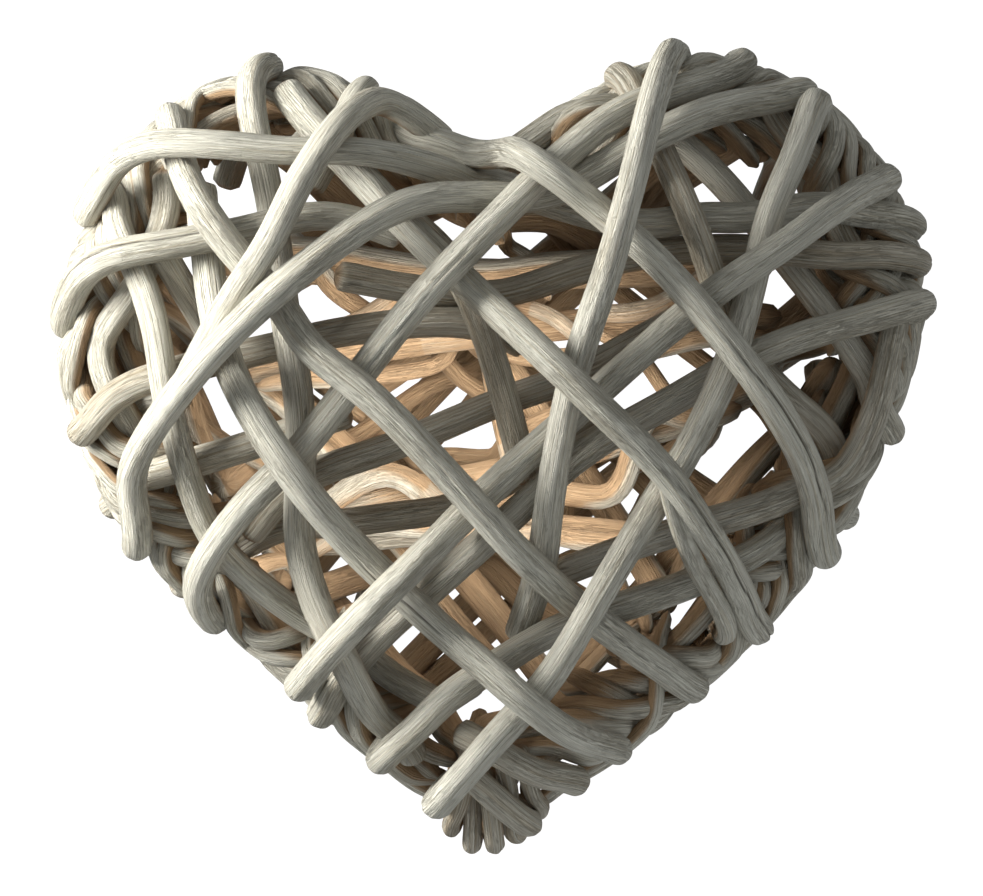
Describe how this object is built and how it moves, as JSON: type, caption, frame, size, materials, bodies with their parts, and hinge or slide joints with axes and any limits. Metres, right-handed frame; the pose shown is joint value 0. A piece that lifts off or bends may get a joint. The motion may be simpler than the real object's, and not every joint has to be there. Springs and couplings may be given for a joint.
{
  "type": "woven willow heart ornament",
  "caption": "Hollow, puffed heart woven from whitewashed willow rods that cross over and under and wrap round its rim.",
  "frame": {"origin": "middle of the heart's bounding box at the level of the surface it lies on, under its flattened back", "axes": "+Z out of the heart's front, +Y from the tip towards the notch, +X to the right seen from the front"},
  "size_m": [0.1996, 0.1812, 0.0921],
  "materials": {
    "whitewashed_willow": "matt limewash worn through to grey fibres in the grain and to bare tan wood on the inner faces"
  },
  "bodies": {
    "root": {"back_rod_1_1": "whitewashed_willow", "back_rod_1_2": "whitewashed_willow", "back_rod_1_3": "whitewashed_willow", "back_rod_1_4": "whitewashed_willow", "back_rod_1_5": "whitewashed_willow", "back_rod_1_6": "whitewashed_willow", "back_rod_2_1": "whitewashed_willow", "back_rod_2_2": "whitewashed_willow", "back_rod_2_3": "whitewashed_willow", "back_rod_2_4": "whitewashed_willow", "back_rod_2_5": "whitewashed_willow", "back_rod_2_6": "whitewashed_willow", "back_rod_3_1": "whitewashed_willow", "back_rod_3_2": "whitewashed_willow", "back_rod_3_3": "whitewashed_willow", "back_rod_3_4": "whitewashed_willow", "falling_rod_1": "whitewashed_willow", "falling_rod_2": "whitewashed_willow", "falling_rod_3": "whitewashed_willow", "falling_rod_3_strand": "whitewashed_willow", "falling_rod_4": "whitewashed_willow", "left_rod_1": "whitewashed_willow", "left_rod_2": "whitewashed_willow", "left_rod_3": "whitewashed_willow", "left_rod_4": "whitewashed_willow", "level_rod_1": "whitewashed_willow", "level_rod_2": "whitewashed_willow", "level_rod_3": "whitewashed_willow", "level_rod_4": "whitewashed_willow", "level_rod_5": "whitewashed_willow", "level_rod_6": "whitewashed_willow", "level_rod_7": "whitewashed_willow", "level_rod_8": "whitewashed_willow", "right_rod_1": "whitewashed_willow", "right_rod_2": "whitewashed_willow", "right_rod_3": "whitewashed_willow", "right_rod_4": "whitewashed_willow", "rim_rod_1": "whitewashed_willow", "rim_rod_2": "whitewashed_willow", "rim_rod_3": "whitewashed_willow", "rim_rod_4": "whitewashed_willow", "rising_rod_1": "whitewashed_willow", "rising_rod_2": "whitewashed_willow", "rising_rod_3": "whitewashed_willow", "rising_rod_4": "whitewashed_willow", "rising_rod_5": "whitewashed_willow", "rising_rod_6": "whitewashed_willow", "tip_rod_1": "whitewashed_willow", "tip_rod_2": "whitewashed_willow", "tip_strand_1": "whitewashed_willow", "tip_strand_2": "whitewashed_willow", "tip_strand_3": "whitewashed_willow", "tip_strand_4": "whitewashed_willow", "tip_strand_5": "whitewashed_willow", "top_rod_1": "whitewashed_willow", "upright_rod_1": "whitewashed_willow", "upright_rod_2": "whitewashed_willow", "upright_rod_3": "whitewashed_willow", "upright_rod_4": "whitewashed_willow"}
  },
  "joints": []
}
